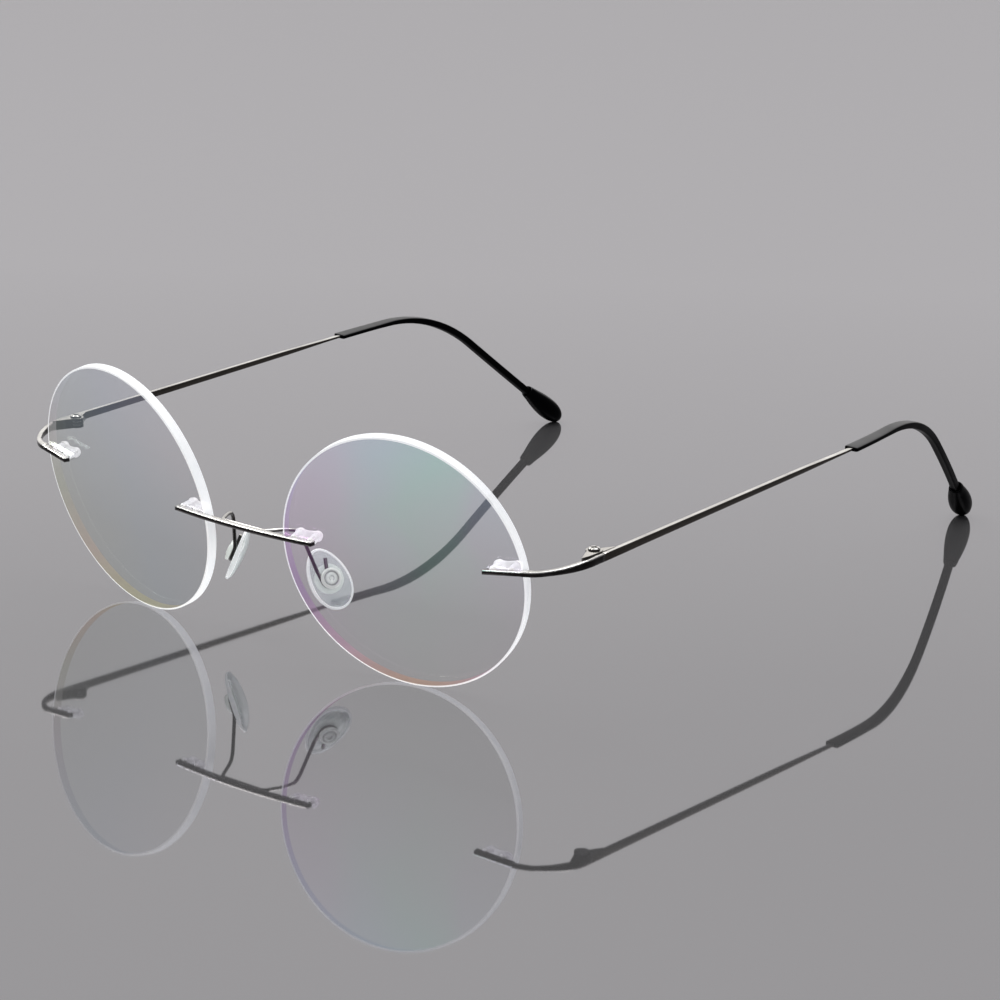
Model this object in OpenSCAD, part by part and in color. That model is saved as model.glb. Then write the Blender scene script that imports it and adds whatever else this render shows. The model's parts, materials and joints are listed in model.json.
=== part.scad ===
// Rimless round spectacles. Millimetres, +Z up, the front faces -Y, +X is the wearer's left.
// Origin: middle of the bridge bar's underside.

/* [Lenses] */
// Diameter of each round lens
lens_diameter = 46; // [42:1:50]
// Gap between the two lenses at the bridge
lens_gap = 17.6; // [15:0.2:21]
// Lens thickness, measured at the edge
lens_thickness = 1.8; // [1.5:0.1:2.4]
// Radius of the lens front surface (larger is flatter)
lens_curve_radius = 400; // [250:10:800]
// Wrap angle: how far each lens turns back towards the temple, degrees
wrap_angle = 9.7; // [5:0.1:12]
// Forward tilt of the lens tops, degrees
face_tilt = 11; // [6:0.5:14]

/* [Mounting through the lens] */
// Distance from the lens edge to the first drilled hole
hole_edge = 2.4; // [2:0.1:3.5]
// Distance between the two holes of a pair
hole_pitch = 3.3; // [2.8:0.1:4]
// Diameter of each drilled hole in the lens
hole_diameter = 1.5; // [1.4:0.1:1.8]
// Diameter of the steel pins on the bridge and the endpieces
pin_diameter = 0.6; // [0.5:0.05:0.7]

/* [Bridge and endpieces] */
// Depth of the flat bars, front to back
bar_depth = 1.15; // [1:0.05:1.4]
// Height of the flat bars
bar_height = 0.75; // [0.7:0.05:0.9]
// Height of the bridge bar above the lens centres
bridge_rise = 1.03; // [0:0.05:3]
// Distance from the lens edge out to the hinge pin
endpiece_reach = 5.05; // [4.6:0.05:6.5]
// Distance from the lens centre plane back to the hinge pin
hinge_back = 15.4; // [15:0.2:18]
// Height of the hinge above the lens centres
hinge_rise = 4; // [3.5:0.1:4.5]
// Thickness of the strips that carry the hinges
strip_thickness = 0.75; // [0.6:0.05:0.9]
// Height of the strip at the hinge
strip_height = 1.4; // [1.2:0.05:1.7]

/* [Hinges] */
// Outer diameter of the hinge barrel
barrel_diameter = 2.8; // [2.6:0.1:3.2]
// Total height of the hinge barrel
barrel_height = 1.8; // [1.7:0.1:2.4]
// Diameter of the hinge screw's shank
screw_diameter = 1.1; // [0.9:0.1:1.2]

/* [Temples] */
// Temple length, from the hinge pin along the temple to its end
temple_length = 150.5; // [144:0.5:156]
// Length of the part of the temple behind the start of the bend
ear_length = 58.8; // [56:0.1:61]
// Length of the black sleeve over the temple, up to the end bulb
sleeve_length = 62.4; // [60:0.2:66]
// Width of the sleeve where it begins
sleeve_width = 2.8; // [2.6:0.05:3]
// Thickness of the sleeve where it begins
sleeve_thickness = 0.9; // [0.85:0.05:1]
// Length of the soft bulb at the end of the temple
bulb_length = 12; // [11:0.5:13]
// Width of the bulb
bulb_width = 4.6; // [4.4:0.1:5]
// Thickness of the bulb
bulb_thickness = 4.4; // [4.2:0.1:4.8]

/* [Nose pads] */
// Length of each nose pad
pad_length = 11.3; // [10:0.1:12]
// Width of each nose pad
pad_width = 7.2; // [6.4:0.1:8]
// Thickness of the soft cushion at its middle
pad_thickness = 1.65; // [1.5:0.05:2]
// Diameter of the pad arm wire
wire_diameter = 0.66; // [0.6:0.02:0.72]
// Splay: how far the pads open towards the face, degrees
pad_splay = 32.5; // [25:0.5:38]
// Frontal angle: how far the pads open downwards, degrees
pad_frontal = 22; // [16:0.5:26]

/* [Hidden] */
$fn = 64;

silver = [0.62, 0.61, 0.58];
bright = [0.78, 0.77, 0.74];
black = [0.04, 0.04, 0.045];
clear = [0.86, 0.90, 0.92, 0.45];
milky = [0.88, 0.90, 0.90, 0.75];

fit = 0.01;  // play between parts seated in one another

function reversed(list) = [for (i = [len(list) - 1:-1:0]) list[i]];
function unit(v) = v / norm(v);

// ---- Lens position. All pieces are laid out with z = 0 at the lens centres, then shifted.
// Lens frame: x outwards, y to the back, z up, origin at the centre of the front rim circle.
lens_r = lens_diameter / 2;
lens_x = lens_gap / 2 + lens_r * cos(wrap_angle);
lens_out = [cos(wrap_angle), sin(wrap_angle), 0];
lens_back = [-sin(wrap_angle) * cos(face_tilt), cos(wrap_angle) * cos(face_tilt), sin(face_tilt)];
lens_up = [sin(wrap_angle) * sin(face_tilt), -cos(wrap_angle) * sin(face_tilt), cos(face_tilt)];
// how far the lens front stands ahead of its rim circle at radius r
function bulge(r) = sqrt(pow(lens_curve_radius, 2) - r * r)
  - sqrt(pow(lens_curve_radius, 2) - lens_r * lens_r);
// point on the lens front, from its place across the lens and the lens-frame height of its row
function lens_front(across, up) =
  [lens_x, 0, 0] + across * lens_out + up * lens_up - bulge(across) * lens_back;
// lens-frame height of a row of holes that passes height z at depth row_depth
row_depth = -0.45;
function row_up(z) = (z - row_depth * lens_back[2]) / lens_up[2];

// ---- Hole pairs, as distances from the lens centre
edge_hole = lens_r - hole_edge;
inset_hole = edge_hole - hole_pitch;
hole_r = hole_diameter / 2;
pin_r = pin_diameter / 2;
bar_gap = 0.12;    // least gap between a bar and the lens front
seat_depth = 0.35; // depth of the pin seats in the bars

// ---- Bridge: its back face is an arc through the slope between the two holes of a pair
bridge_overhang = 0.9; // bar beyond the inset hole
bridge_up = row_up(bridge_rise);
bridge_holes = [[-edge_hole, bridge_up], [-inset_hole, bridge_up]];
// lens front at: edge hole, inset hole, rim, end of the bar
bridge_points = [for (across = [-edge_hole, -inset_hole, -lens_r, bridge_overhang - inset_hole])
  lens_front(across, bridge_up)];
bridge_hole_step = bridge_points[1] - bridge_points[0];
bridge_slope = atan(bridge_hole_step[1] / bridge_hole_step[0]);
bridge_radius = (bridge_points[0][0] + bridge_points[1][0]) / 2 / sin(bridge_slope);
bridge_half = bridge_points[3][0];
function bridge_arc(x) = bridge_radius - sqrt(bridge_radius * bridge_radius - x * x);
bridge_y = min([for (p = bridge_points) p[1] - bridge_arc(p[0])]) - bar_gap;
function bridge_back(x) = bridge_y + bridge_arc(x);
origin_y = bridge_y - bar_depth / 2;
origin_z = bridge_rise - bar_height / 2;

// ---- Endpiece in plan: a straight bar along the lens, then a curve back to the hinge strip
tip_z = 2;            // bar height above the lens centres at its inner end
bend_z = 2.85;        // and where the curve begins
tip_overhang = 1.4;   // bar beyond the inset hole
tip_across = inset_hole - tip_overhang;
end_holes = [for (across = [inset_hole, edge_hole])
  let (share = (across - tip_across) / (lens_r - tip_across))
  [across, row_up(tip_z + (bend_z - tip_z) * share)]];
// lens front at: inset hole, edge hole, rim, end of the bar
end_points = [for (h = concat(end_holes,
    [[lens_r, end_holes[1][1]], [tip_across, end_holes[0][1]]]))
  lens_front(h[0], h[1])];
end_hole_step = end_points[1] - end_points[0];
end_angle = atan(end_hole_step[1] / end_hole_step[0]);
function end_line(x) = end_points[0][1] + (x - end_points[0][0]) * tan(end_angle);
end_offset = max([for (p = end_points) end_line(p[0]) - p[1]]) + bar_gap;
function end_back(x) = end_line(x) - end_offset;
tip_x = end_points[3][0];
rim_x = lens_x + lens_r * cos(wrap_angle);
bend_x = rim_x + 0.05;

hinge_x = rim_x + endpiece_reach;
barrel_r = barrel_diameter / 2;
screw_r = screw_diameter / 2;
strip_in = hinge_x + barrel_r + 0.05;
strip_out = strip_in + strip_thickness;
strip_mid = (strip_in + strip_out) / 2;
butt_gap = 0.05; // from the hinge pin to each strip end

// direction from an arc's centre to the point where the arc heads at angle a from +X
function arc_dir(a) = [sin(a), -cos(a)];
bend_back = [bend_x, end_back(bend_x)];
bend_front = bend_back + bar_depth * arc_dir(end_angle);
// a tight arc turns to tight_end, then a wide one to the straight strip
tight_end = 50;
wide_y = bend_front[1] + 0.34 * (strip_out - bend_front[0]);
wide_r = min(0.47 * (strip_out - bend_front[0]) / (1 - sin(tight_end)),
  (hinge_back - 1.5 - wide_y) / cos(tight_end));
wide_r_in = wide_r - strip_thickness;
strip_y = wide_y + wide_r * cos(tight_end);
tight_steps = 7;
wide_steps = tight_steps + 2;
// radius of the tight arc between the straight line through start and the point stop
function tight_radius(start, stop) =
  (stop[1] - start[1] - (stop[0] - start[0]) * tan(end_angle))
  / (cos(end_angle) - cos(tight_end) - tan(end_angle) * (sin(tight_end) - sin(end_angle)));
// both arcs of one face, from start on the bar to the strip face at x; r is the wide radius
function face_curve(start, x, r) =
  let (wide_centre = [x - r, strip_y],
    stop = wide_centre + r * arc_dir(tight_end),
    tight_r = tight_radius(start, stop),
    tight_centre = stop - tight_r * arc_dir(tight_end))
  concat(
    [for (i = [0:tight_steps])
      tight_centre + tight_r * arc_dir(end_angle + (tight_end - end_angle) * i / tight_steps)],
    [for (i = [1:wide_steps])
      wide_centre + r * arc_dir(tight_end + (90 - tight_end) * i / wide_steps)]);

// ---- Temple centre line from the side, as [y, z]: straight, bend, nearly straight end
// s is the distance along it from the hinge pin
start_slope = 1.36;
tail_slope = -38.9;
bend_r = 37.1;
tail_r = 1800;
straight = temple_length - ear_length;
bend_end = straight + bend_r * (start_slope - tail_slope) * PI / 180;
function above(angle) = [-sin(angle), cos(angle)];
function straight_at(s) = [hinge_back, hinge_rise] + s * [cos(start_slope), sin(start_slope)];
bend_centre = straight_at(straight) - bend_r * above(start_slope);
tail_centre = bend_centre + (bend_r - tail_r) * above(tail_slope);
function heading(s) = s < straight ? start_slope
  : s < bend_end ? start_slope - (s - straight) / bend_r * 180 / PI
  : tail_slope - (s - bend_end) / tail_r * 180 / PI;
function side_at(s) = s < straight ? straight_at(s)
  : s < bend_end ? bend_centre + bend_r * above(heading(s))
  : tail_centre + tail_r * above(heading(s));

// in plan the rear of the temple curves inwards
inward_y = hinge_back + straight - 17.7;
inward_r = 225;
function inward(y) = y < inward_y ? 0 : inward_r - sqrt(inward_r * inward_r - pow(y - inward_y, 2));

bulb_start = temple_length - bulb_length;
sleeve_end = bulb_start + 1.2;
sleeve_start = sleeve_end - sleeve_length;
blade_end = bulb_start - 1.5;
// sizes along the temple: [s, size]; "tall" is seen from the side, "wide" from above
blade_tall = [[0, strip_height], [15, strip_height - 0.14], [sleeve_start - 17, 0.95],
  [sleeve_start - 3, 0.46], [temple_length, 0.46]];
blade_wide = [[0, strip_thickness], [sleeve_start - 17, strip_thickness],
  [sleeve_start - 3, 0.9], [temple_length, 0.9]];
sleeve_tall = [[0, sleeve_thickness], [straight - 4, sleeve_thickness],
  [straight + 4, sleeve_thickness + 0.25], [straight + 11, sleeve_thickness + 0.5],
  [straight + 18, sleeve_thickness + 0.6], [200, sleeve_thickness + 0.6]];
sleeve_wide = [[sleeve_start, sleeve_width], [straight - 6, sleeve_width - 0.15],
  [straight + 3, sleeve_width - 0.35], [straight + 11, sleeve_width - 0.75],
  [straight + 24, sleeve_width - 1.2], [200, sleeve_width - 1.2]];

// ---- Nose pad frame: x down the pad, y to the back, z outwards through the button
pad_roll = 23;
ring_centre = [lens_gap / 2 + 2.27, 5.72, -8.47];
pad_out = [cos(pad_frontal) * cos(pad_splay), -cos(pad_frontal) * sin(pad_splay), sin(pad_frontal)];
unrolled_down =
  [sin(pad_frontal) * cos(pad_splay), -sin(pad_frontal) * sin(pad_splay), -cos(pad_frontal)];
pad_down = cos(pad_roll) * unrolled_down + sin(pad_roll) * cross(pad_out, unrolled_down);
pad_back = cross(pad_out, pad_down);
wire_r = wire_diameter / 2;
ring_r = 1.45;
neck_r = ring_r - wire_r - 0.05;

// ---- Frames
module own_frame() translate([0, -origin_y, -origin_z]) children();
module left() own_frame() children();
module right() own_frame() mirror([1, 0, 0]) children();
module both() {
  left() children();
  right() children();
}
module lens_frame()
  translate([lens_x, 0, 0]) rotate([0, 0, wrap_angle]) rotate([face_tilt, 0, 0]) children();
module pad_frame() multmatrix([
  for (i = [0:2]) [pad_down[i], pad_back[i], pad_out[i], ring_centre[i]],
  [0, 0, 0, 1]]) children();
// cylinder along y at x, z, from y0 to y1
module rod(x, z, y0, y1, r) translate([x, y0, z]) rotate([-90, 0, 0]) cylinder(r = r, h = y1 - y0);

// ---- Lenses
edge_chamfer = 0.12;
module lens_body() {
  face_steps = 14;
  radii = [for (i = [0:face_steps]) (lens_r - edge_chamfer) * i / face_steps];
  lens_frame() difference() {
    rotate([-90, 0, 0]) rotate_extrude($fn = 128) polygon(concat(
      [for (r = radii) [r, -bulge(r)]],
      [[lens_r, edge_chamfer], [lens_r, lens_thickness - edge_chamfer]],
      [for (r = reversed(radii)) [r, lens_thickness - bulge(r)]]));
    for (h = concat(bridge_holes, end_holes)) rod(h[0], h[1], -2, lens_thickness + 2, hole_r);
  }
}
module lens_left() color(clear) left() lens_body();
module lens_right() color(clear) right() lens_body();

// ---- Bridge bar: curved flat bar with four blind pin seats in its back
// seats at the holes, cut off seat_depth in front of the back face, which passes face at angle;
// the limiting box begins `before` ahead of face in x
module pin_seats(holes, face, angle, before, height) intersection() {
  lens_frame() for (h = holes) rod(h[0], h[1], -3, 3, pin_r + fit);
  translate([face[0], face[1] - seat_depth, -2]) rotate([0, 0, angle])
    translate([-before, 0, 0]) cube([14, 4, height]);
}
module bridge_bar() color(silver) own_frame() {
  half_steps = 24;
  xs = [for (i = [-half_steps:half_steps]) bridge_half * i / half_steps];
  seat_x = bridge_points[0][0];
  difference() {
    translate([0, 0, bridge_rise - bar_height / 2]) linear_extrude(height = bar_height)
      polygon(concat([for (x = xs) [x, bridge_back(x)]],
        [for (x = reversed(xs)) [x, bridge_back(x) - bar_depth]]));
    for (k = [0, 1]) mirror([k, 0, 0])
      pin_seats(bridge_holes, [seat_x, bridge_back(seat_x)], bridge_slope, before = 3, height = 6);
  }
}

// ---- Endpieces: flat bar on the lens, curving back into the upright strip of the hinge
module endpiece_plan() {
  tip_back = [tip_x, end_back(tip_x)];
  polygon(concat(
    [tip_back],
    face_curve(bend_back, strip_in, wide_r_in),
    [[strip_in, hinge_back - butt_gap], [strip_out, hinge_back - butt_gap]],
    reversed(face_curve(bend_front, strip_out, wide_r)),
    [tip_back + bar_depth * arc_dir(end_angle)]));
}
module endpiece_slab() translate([0, 0, -3]) linear_extrude(height = 12) endpiece_plan();
// side outline of the curve, front to back:
// [share of the way to the hinge, share of the rise, share of the growth in height]
rise = [[0, 0, 0], [0.18, 0.3, 0.12], [0.35, 0.5, 0.4], [0.48, 0.65, 0.7],
  [0.63, 0.82, 0.95], [0.86, 0.98, 1], [0.95, 1, 1], [1.1, 1, 1]];
// lower (side = -1) or upper (side = 1) edge of that outline, as [y, z]
function rise_edge(side) = concat(
  [[-8, bend_z + side * (bar_height / 2 + 0.01)]],
  [for (row = rise)
    let (half = (bar_height + row[2] * (strip_height - bar_height)) / 2)
    [bend_front[1] + row[0] * (hinge_back - bend_front[1]),
      bend_z + row[1] * (hinge_rise - bend_z) + side * (half + (row[0] == 0 ? 0.01 : 0))]]);
module endpiece_rise() rotate([90, 0, 90]) linear_extrude(height = 90)
  polygon(concat(rise_edge(-1), reversed(rise_edge(1))));
// sloping front outline of the straight bar, carried on past its inner end
module bar_rise() {
  past = 2;
  past_z = tip_z - past * (bend_z - tip_z) / (bend_x - tip_x);
  half = bar_height / 2;
  rotate([90, 0, 0]) translate([0, 0, -30]) linear_extrude(height = 60)
    polygon([[tip_x - past, past_z - half], [bend_x + 0.02, bend_z - half],
      [bend_x + 0.02, bend_z + half], [tip_x - past, past_z + half]]);
}
module endpiece_body() difference() {
  union() {
    // bar lying on the lens
    intersection() {
      endpiece_slab();
      bar_rise();
    }
    // curve and hinge strip
    intersection() {
      endpiece_slab();
      translate([bend_x, -10, -5]) cube([20, 40, 20]);
      endpiece_rise();
    }
  }
  seat_x = end_points[0][0];
  pin_seats(end_holes, [seat_x, end_back(seat_x)], end_angle, before = 4, height = 8);
}
module endpiece_left() color(silver) left() endpiece_body();
module endpiece_right() color(silver) right() endpiece_body();

// ---- Pins through the lenses: one end seated in a bar, the other in a plug
plug_y = lens_thickness - bulge(inset_hole) + 0.2;
pin_tip = plug_y + 0.6;
pin_end_gap = 0.08; // left free at the bottom of the seat
module mounting_pins() color(bright) both() lens_frame()
  for (h = concat(bridge_holes, end_holes))
    rod(h[0], h[1], -bulge(h[0]) - bar_gap - seat_depth + pin_end_gap, pin_tip, pin_r);

// ---- Clear twin plugs behind the lens, one over each pair of pins
flange_r = 0.98;
flange_waist = 1.7;
// dome half profile: [radius, height]
dome = [[0, 0], [0.86, 0], [0.86, 0.38], [0.76, 0.66], [0.52, 0.86], [0, 0.94]];
// space behind the curved lens back, in the lens frame
module behind_lens() rotate([-90, 0, 0]) rotate_extrude($fn = 128) polygon(concat(
  [for (i = [0:16]) let (r = 1.6 * i) [r, lens_thickness - bulge(r) + 0.03]],
  [[25.6, lens_thickness + 4], [0, lens_thickness + 4]]));
module plug(pair) {
  step = pair[1] - pair[0];
  mid = (pair[0] + pair[1]) / 2;
  angle = atan2(step[1], step[0]);
  half = norm(step) / 2;
  translate([mid[0], 0, mid[1]]) rotate([0, -angle, 0]) difference() {
    union() {
      // flange, resting on the curved back of the lens
      intersection() {
        translate([-half - 1.25, plug_y - 0.5, -1.2]) cube([2 * half + 2.5, 0.8, 2.4]);
        rotate([-90, 0, 0]) translate([0, 0, plug_y - 1]) linear_extrude(height = 3) union() {
          for (k = [-1, 1]) translate([k * half, 0]) circle(r = flange_r);
          square([2 * half, flange_waist], center = true);
        }
        rotate([0, angle, 0]) translate([-mid[0], 0, -mid[1]]) behind_lens();
      }
      for (k = [-1, 1]) {
        // barrel inside the lens hole
        rod(k * half, 0, 0.12 - bulge(inset_hole), plug_y + 0.12, hole_r - 0.03);
        // dome behind the flange
        translate([k * half, plug_y + 0.1, 0]) rotate([-90, 0, 0]) rotate_extrude() polygon(dome);
      }
    }
    for (k = [-1, 1]) rod(k * half, 0, -2, pin_tip + 0.04, pin_r + fit);
  }
}
module lens_plugs() color(clear) both() lens_frame() {
  plug(bridge_holes);
  plug(end_holes);
}

// ---- Pad wire: one wire behind the bridge, an arm and a ring hook on each side
ring_stop = 165;   // the ring runs from -90 to this angle
ring_steps = 15;
contact_x = 4.8;   // the wire leaves the bridge here
contact_y = bridge_back(contact_x) + wire_r + 0.02;
wire_sides = 10;
// point on the ring at angle t, moved by shift in the pad's plane
function ring_at(t, shift = [0, 0]) = ring_centre
  + (ring_r * cos(t) + shift[0]) * pad_down + (ring_r * sin(t) + shift[1]) * pad_back;
arm_points = [[0, contact_y, bridge_rise], [contact_x, contact_y, bridge_rise],
  [6.5, -1.0, 0.95], [7.5, 1.2, 0.5], [7.85, 2.05, -0.75], ring_at(-90, [-2.4, 0]), ring_at(-90)];
tail_points = [for (shift = [[0, 0], [-0.2, -0.18], [-2.1, 0.55]]) ring_at(ring_stop, shift)];
// rounded corner at b, between a and c
function corner(a, b, c) =
  let (trim = min(0.75, 0.45 * norm(a - b), 0.45 * norm(c - b)),
    p = b + trim * unit(a - b),
    q = b + trim * unit(c - b))
  [for (k = [0:3]) let (t = k / 3) (1 - t) * (1 - t) * p + 2 * t * (1 - t) * b + t * t * q];
left_wire = concat(
  [for (i = [1:len(arm_points) - 2])
    each corner(arm_points[i - 1], arm_points[i], arm_points[i + 1])],
  [for (i = [0:ring_steps]) ring_at(-90 + (90 + ring_stop) * i / ring_steps)],
  corner(tail_points[0], tail_points[1], tail_points[2]),
  [tail_points[2]]);
wire_path = concat([for (p = reversed(left_wire)) [-p[0], p[1], p[2]]], left_wire);
wire_last = len(wire_path) - 1;
function wire_dir(i) = unit(wire_path[min(i + 1, wire_last)] - wire_path[max(i - 1, 0)]);
// a side direction carried along the wire from point i without twist
function carried(i, v) =
  let (dir = wire_dir(i), side = unit(v - (v * dir) * dir))
  i == wire_last ? [side] : concat([side], carried(i + 1, side));
module pad_wire() color(silver) own_frame() {
  m = wire_sides;
  sides = carried(0, [0.1, 0.2, 1]);
  points = [for (i = [0:wire_last])
    let (side = sides[i], other = cross(wire_dir(i), side))
    for (k = [0:m - 1])
      wire_path[i] + wire_r * (cos(360 * k / m) * side + sin(360 * k / m) * other)];
  walls = [for (i = [0:wire_last - 1], k = [0:m - 1])
    let (here = i * m, ahead = here + m, next = (k + 1) % m)
    each [[here + k, ahead + k, ahead + next], [here + k, ahead + next, here + next]]];
  polyhedron(points = points, faces = concat(
    [[for (k = [0:m - 1]) k]],
    walls,
    [[for (k = [m - 1:-1:0]) wire_last * m + k]]));
}

// ---- Nose pads: stiff core with a grooved boss, soft cushion moulded round it
cushion_z = -wire_r - 0.05; // outer face of the cushion
plate_depth = 0.45;         // from that face down to the core plate
plate_thickness = 0.5;
plate_r = 2.6;
plate_z = cushion_z - plate_depth - plate_thickness;
dish_r = 15;                // rounding of the cushion's face towards the nose
// button half profile: [radius, height]
button = [[0, 0], [1.72, 0], [1.82, 0.12], [1.82, 0.5], [1.68, 0.75], [1.35, 0.93],
  [0.8, 1.02], [0, 1.05]];
module core_body() pad_frame() union() {
  translate([0, 0, plate_z]) cylinder(r = plate_r, h = plate_thickness);
  translate([0, 0, cushion_z - 0.46]) cylinder(r = neck_r, h = 0.46 + 2 * wire_r + 0.12);
  translate([0, 0, wire_r + 0.05]) rotate_extrude() polygon(button);
}
// egg shape, wider at its lower end
module cushion_outline() polygon([for (i = [0:59]) let (t = 6 * i)
  [pad_length / 2 * cos(t), pad_width / 2 * (1 + 0.13 * cos(t)) * sin(t)]]);
module cushion_body() pad_frame() difference() {
  intersection() {
    translate([0, 0, cushion_z - pad_thickness])
      linear_extrude(height = pad_thickness) cushion_outline();
    translate([0, 0, cushion_z - pad_thickness]) rotate_extrude($fn = 96) polygon(concat(
      [[0, pad_thickness + 1], [7, pad_thickness + 1]],
      [for (i = [10:-1:0]) let (r = 0.7 * i) [r, dish_r - sqrt(dish_r * dish_r - r * r)]]));
  }
  translate([0, 0, plate_z - fit]) cylinder(r = plate_r + fit, h = plate_thickness + 2 * fit);
  translate([0, 0, cushion_z - 0.5]) cylinder(r = neck_r + fit, h = 1);
}
module pad_core_left() color(clear) left() core_body();
module pad_core_right() color(clear) right() core_body();
module pad_cushion_left() color(milky) left() cushion_body();
module pad_cushion_right() color(milky) right() cushion_body();

// ---- Hinges: fork of two knuckles on the endpiece, one knuckle on the temple
barrel_half = barrel_height / 2;
knuckle_half = 0.24 * barrel_height / 1.8; // half height of the temple's knuckle
washer_thickness = 0.09;
fork_half = knuckle_half + washer_thickness + 0.02;
screw_play = 0.03;
module hinge_frame() translate([hinge_x, hinge_back, hinge_rise]) children();
module endpiece_hinge_body() hinge_frame() difference() {
  union() {
    translate([0, 0, -barrel_half]) cylinder(r = barrel_r, h = 2 * barrel_half);
    // web from the barrel to the inner face of the strip, following the end of its curve
    translate([0, 0, -barrel_half]) linear_extrude(height = 2 * barrel_half) polygon(concat(
      [for (i = [0:4]) [strip_in - wide_r_in - hinge_x, strip_y - hinge_back]
        + (wide_r_in - 0.02) * arc_dir(90 - 13 * (1 - i / 4))],
      [[barrel_r + 0.03, -butt_gap], [0.2, -butt_gap], [-0.95, -0.95], [-0.6, -1.2]]));
  }
  // slot of the fork
  translate([0, 0, -fork_half]) cylinder(r = barrel_r + 0.07, h = 2 * fork_half);
  translate([-barrel_r - 1, 0, -fork_half])
    cube([2 * barrel_r + 1, barrel_r + 1, 2 * fork_half]);
  // screw hole, closer in the lower knuckle
  translate([0, 0, -barrel_half - 1]) cylinder(r = screw_r + fit, h = barrel_half + 1);
  cylinder(r = screw_r + screw_play, h = barrel_half + 1);
}
module temple_hinge_body() hinge_frame() difference() {
  union() {
    translate([0, 0, -knuckle_half]) cylinder(r = barrel_r, h = 2 * knuckle_half);
    // web to the inner face of the temple, cleared round both fork knuckles
    difference() {
      translate([0, 0, -barrel_half + 0.25]) linear_extrude(height = 2 * barrel_half - 0.35)
        polygon([[barrel_r + 0.05, 0.12], [barrel_r + 0.05, 4.1], [-0.1, 1.3], [0.5, 0.12]]);
      for (z = [knuckle_half, -barrel_half - 1 - knuckle_half])
        translate([0, 0, z]) cylinder(r = barrel_r + 0.06, h = barrel_half + 1);
    }
  }
  translate([0, 0, -barrel_half - 1]) cylinder(r = screw_r + screw_play, h = 2 * barrel_half + 2);
}
module endpiece_hinge_left() color(silver) left() endpiece_hinge_body();
module endpiece_hinge_right() color(silver) right() endpiece_hinge_body();
module temple_hinge_left() color(silver) left() temple_hinge_body();
module temple_hinge_right() color(silver) right() temple_hinge_body();

// hinge screws: cross-slotted head above the top knuckle
screw_head = [[0, 0], [1.02, 0], [1.02, 0.28], [0.88, 0.42], [0, 0.46]]; // [radius, height]
slot = 0.28;
module hinge_screws() color(bright) both() hinge_frame() difference() {
  union() {
    translate([0, 0, -barrel_half]) cylinder(r = screw_r, h = 2 * barrel_half + 0.1);
    translate([0, 0, barrel_half + 0.01]) rotate_extrude() polygon(screw_head);
  }
  translate([-1.5, -slot / 2, barrel_half + 0.24]) cube([3, slot, 1]);
  translate([-slot / 2, -1.5, barrel_half + 0.24]) cube([slot, 3, 1]);
}
// hinge washers: one above and one below the temple's knuckle
module hinge_washers() color(milky) both() hinge_frame()
  for (z = [knuckle_half + fit, -knuckle_half - fit - washer_thickness])
    translate([0, 0, z]) difference() {
      cylinder(r = barrel_r - 0.2, h = washer_thickness);
      translate([0, 0, -1]) cylinder(r = screw_r + screw_play, h = 3);
    }

// ---- Temples: upright blade that turns into a thin flat inside the sleeve
plan_past = 3; // the plan outline runs this far past both ends
function side_edge(stations, tall, grow, side) =
  [for (s = stations) side_at(s) + side * (lookup(s, tall) / 2 + grow) * above(heading(s))];
function plan_point(s, wide, grow, side, past = 0) =
  let (y = side_at(s)[0] + past)
  [strip_mid - inward(y) + side * (lookup(s, wide) / 2 + grow), y];
function plan_edge(stations, wide, grow, side) = concat(
  [plan_point(stations[0], wide, grow, side) - [0, plan_past]],
  [for (s = stations) plan_point(s, wide, grow, side)],
  [plan_point(stations[len(stations) - 1], wide, grow, side, plan_past)]);
// common solid of the side and plan outlines between s0 and s1, in n steps
module stretch(s0, s1, n, tall, wide, grow = 0) {
  stations = [for (i = [0:n]) s0 + (s1 - s0) * i / n];
  intersection() {
    rotate([90, 0, 90]) translate([0, 0, strip_mid - 16]) linear_extrude(height = 22)
      polygon(concat(side_edge(stations, tall, grow, 1),
        reversed(side_edge(stations, tall, grow, -1))));
    translate([0, 0, -60]) linear_extrude(height = 90)
      polygon(concat(plan_edge(stations, wide, grow, 1),
        reversed(plan_edge(stations, wide, grow, -1))));
  }
}
module temple_body() intersection() {
  stretch(butt_gap, blade_end, 60, blade_tall, blade_wide);
  translate([0, hinge_back + butt_gap, -60]) cube([100, 200, 100]);
}
module temple_left() color(silver) left() temple_body();
module temple_right() color(silver) right() temple_body();

// ---- Sleeves over the rear of the blades
tip_fit = 0.02;
module sleeve_body() difference() {
  stretch(sleeve_start, sleeve_end, 36, sleeve_tall, sleeve_wide);
  stretch(sleeve_start - 2, sleeve_end + 2, 40, blade_tall, blade_wide, tip_fit);
}
module tip_sleeve_left() color(black) left() sleeve_body();
module tip_sleeve_right() color(black) right() sleeve_body();

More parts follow.
